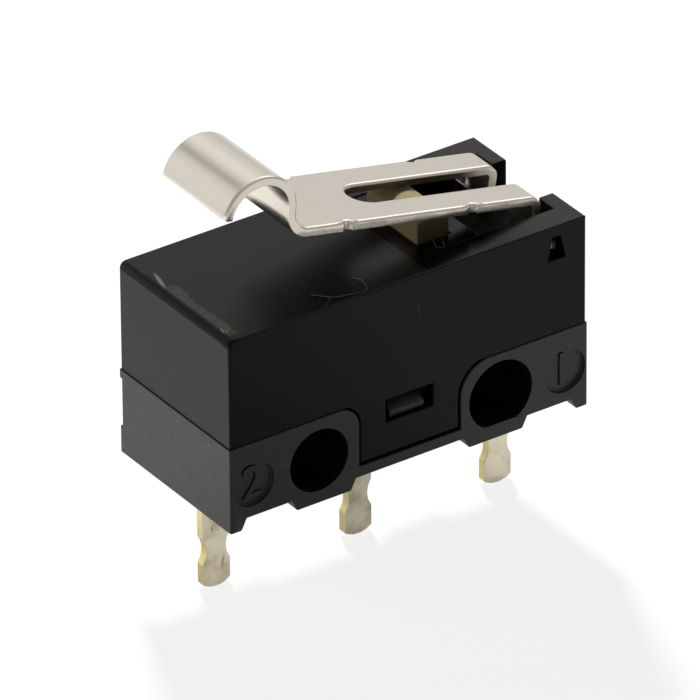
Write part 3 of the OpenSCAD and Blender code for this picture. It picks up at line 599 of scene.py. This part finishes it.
# Studio
# A paper sweep under the terminals, a lamp high behind the case and a little to the right, and a
# weak fill from the left. Shiny faces see a wide soft light behind, a small bright one on the right,
# and a narrow dark gap on the left. The paper carries painted light for them: it glows brighter on
# the left and on the right, with a painted pool of light under the left end and a painted dark patch behind the
# case.
FLOOR_Z_MM = -5.06
SWEEP_MM = 900
PAPER_GREY = "#8c8c8c"
PAPER_LIFT = 0.85
PAPER_SHEEN = 0.45
# Painted light on the paper, seen only by shiny faces: brighter towards the right, brighter again towards the left
# and back, easing off far away.
RIGHT_MM = (0, 9)
RIGHT_SHEEN = 0.8
BOUNCE_WAY = (-0.85, 0.53, 0)
BOUNCE_MM = (5, 12)
BOUNCE_SHEEN = 1.3
FAR_MM = (20, 45)
FAR_SHEEN = 0.9
# Each painted pool on the paper: its middle and half size in mm, and its gain; the one behind the case, with a
# negative gain, is a painted dark patch.
PAINTED_POOLS_MM = (((-3.4, -3.0), (5.0, 4.0), 0.4), ((1.5, 8.0), (9.0, 6.0), -0.35))
AIR_AMBIENT = 0.02
AIR_SHEEN = 0.46
# Each card of light in the air: azimuth and height of its middle, the two angles from there between which
# it fades, all in degrees, and its gain.
CARDS = ((70, 52, 8, 45, 0.55), (47, 12, 5, 22, 0.26), (16, 40, 6, 24, 1.8), (65, 39, 3, 14, 0.22),
         (102, 43.5, 2, 11, -0.68), (131, 17, 14, 34, 0.62), (-5, 66, 10, 30, 0.6))
# Each lamp: its place and width in mm, and its power in watts.
LAMPS = (("back_key", (43, 102, 102), 16, 0.21), ("left_fill", (-110, 20, 40), 90, 0.03))

skin = bmesh.new()
bmesh.ops.create_grid(skin, x_segments=1, y_segments=1, size=SWEEP_MM / 2 * MM)
bmesh.ops.translate(skin, verts=skin.verts, vec=(0, 0, FLOOR_Z_MM * MM))
mesh = bpy.data.meshes.new("studio_floor")
skin.to_mesh(mesh)
skin.free()
floor = linked("studio_floor", mesh)

# Matt grey paper, lifted to near white for the eye, and painted with an uneven glow for what reflects it: pools of
# painted light and a painted dark patch behind the case.
paper, tree, out, place = new_material("matt_paper_sweep")
path = add_node(tree, "LightPath")
shiny = add_node(tree, "Math", {0: path.outputs["Is Glossy Ray"], 1: path.outputs["Is Transmission Ray"]},
                 operation="MAXIMUM")
across = add_node(tree, "SeparateXYZ", {"Vector": place})
right = add_node(tree, "MapRange", {"Value": across.outputs["X"], "From Min": RIGHT_MM[0] * MM,
                                    "From Max": RIGHT_MM[1] * MM, "To Min": PAPER_SHEEN, "To Max": RIGHT_SHEEN},
                 interpolation_type="SMOOTHSTEP")
back = add_node(tree, "VectorMath", {0: place, 1: BOUNCE_WAY}, operation="DOT_PRODUCT")
far = add_node(tree, "MapRange", {"Value": back.outputs["Value"], "From Min": FAR_MM[0] * MM,
                                  "From Max": FAR_MM[1] * MM, "To Min": BOUNCE_SHEEN, "To Max": FAR_SHEEN},
               interpolation_type="SMOOTHSTEP")
patch = add_node(tree, "MapRange", {"Value": back.outputs["Value"], "From Min": BOUNCE_MM[0] * MM,
                                    "From Max": BOUNCE_MM[1] * MM, "To Min": right.outputs["Result"],
                                    "To Max": far.outputs["Result"]}, interpolation_type="SMOOTHSTEP")
for (x_mm, y_mm), (half_x_mm, half_y_mm), gain in PAINTED_POOLS_MM:
    painted_pool = oval_mark(tree, place, (x_mm, y_mm, FLOOR_Z_MM), (half_x_mm, half_y_mm, 1.0), (0, 0, 0))
    patch = add_node(tree, "Math", {0: painted_pool, 1: gain, 2: patch.outputs[0]}, operation="MULTIPLY_ADD")
sheen = add_node(tree, "Math", {0: shiny.outputs[0], 1: patch.outputs[0]}, operation="MULTIPLY")
lift = add_node(tree, "Math", {0: path.outputs["Is Camera Ray"], 1: PAPER_LIFT, 2: sheen.outputs[0]},
                operation="MULTIPLY_ADD")
matt = add_node(tree, "BsdfDiffuse", {"Color": linear(PAPER_GREY)})
glow = add_node(tree, "Emission", {"Color": (1, 1, 1, 1), "Strength": lift.outputs[0]})
both = add_node(tree, "AddShader", {0: matt.outputs["BSDF"], 1: glow.outputs["Emission"]})
tree.links.new(both.outputs["Shader"], out.inputs["Surface"])
mesh.materials.append(paper)

world = bpy.data.worlds.new("studio_air")
bpy.context.scene.world = world
world.cycles.sampling_method = "NONE"
world.use_nodes = True
tree = world.node_tree
tree.nodes.clear()
path = add_node(tree, "LightPath")
shiny = add_node(tree, "Math", {0: path.outputs["Is Glossy Ray"], 1: path.outputs["Is Transmission Ray"]},
                 operation="MAXIMUM")
way = add_node(tree, "TexCoord").outputs["Generated"]
level = AIR_SHEEN
for azimuth, height, inner, outer, gain in CARDS:
    a, h = math.radians(azimuth), math.radians(height)
    spot = (math.cos(a) * math.cos(h), math.sin(a) * math.cos(h), math.sin(h))
    near = add_node(tree, "VectorMath", {0: way, 1: spot}, operation="DOT_PRODUCT")
    card = add_node(tree, "MapRange", {"Value": near.outputs["Value"], "From Min": math.cos(math.radians(outer)),
                                       "From Max": math.cos(math.radians(inner))},
                    interpolation_type="SMOOTHSTEP")
    level = add_node(tree, "Math", {0: card.outputs["Result"], 1: gain, 2: level},
                     operation="MULTIPLY_ADD").outputs[0]
dim = add_node(tree, "MapRange", {"Value": shiny.outputs[0], "To Min": AIR_AMBIENT, "To Max": level})
seen = add_node(tree, "Math", {0: path.outputs["Is Camera Ray"], 1: dim.outputs["Result"]}, operation="MAXIMUM")
air = add_node(tree, "Background", {"Color": (1, 1, 1, 1), "Strength": seen.outputs[0]})
tree.links.new(air.outputs["Background"], add_node(tree, "OutputWorld").inputs["Surface"])

for name, place_mm, width_mm, power in LAMPS:
    lamp = bpy.data.lights.new(name, "AREA")
    lamp.size = width_mm * MM
    lamp.energy = power
    stand = linked(name, lamp)
    stand.visible_glossy = False
    stand.location = Vector(place_mm) * MM
    stand.rotation_euler = (-Vector(place_mm)).to_track_quat("-Z", "Y").to_euler()

# Camera
# A long lens from the front left, at the angles and distance that fit the case's corners.
AIM_MM = (0.266, 0.599, 0.847)
DISTANCE_MM = 365
AZIMUTH, ELEVATION, ROLL = -34.414, 30.81, -0.459
LENS_MM = 634.85
SENSOR_MM = 36

lens = bpy.data.cameras.new("camera")
lens.sensor_width = SENSOR_MM
lens.lens = LENS_MM
camera = linked("camera", lens)
aim = (Matrix.Rotation(math.radians(AZIMUTH), 4, "Z") @ Matrix.Rotation(math.radians(90 - ELEVATION), 4, "X")
       @ Matrix.Rotation(math.radians(ROLL), 4, "Z"))
camera.matrix_world = Matrix.Translation(Vector(AIM_MM) * MM + aim.col[2].xyz * DISTANCE_MM * MM) @ aim
bpy.context.scene.camera = camera
bpy.context.scene.view_settings.view_transform = "Standard"
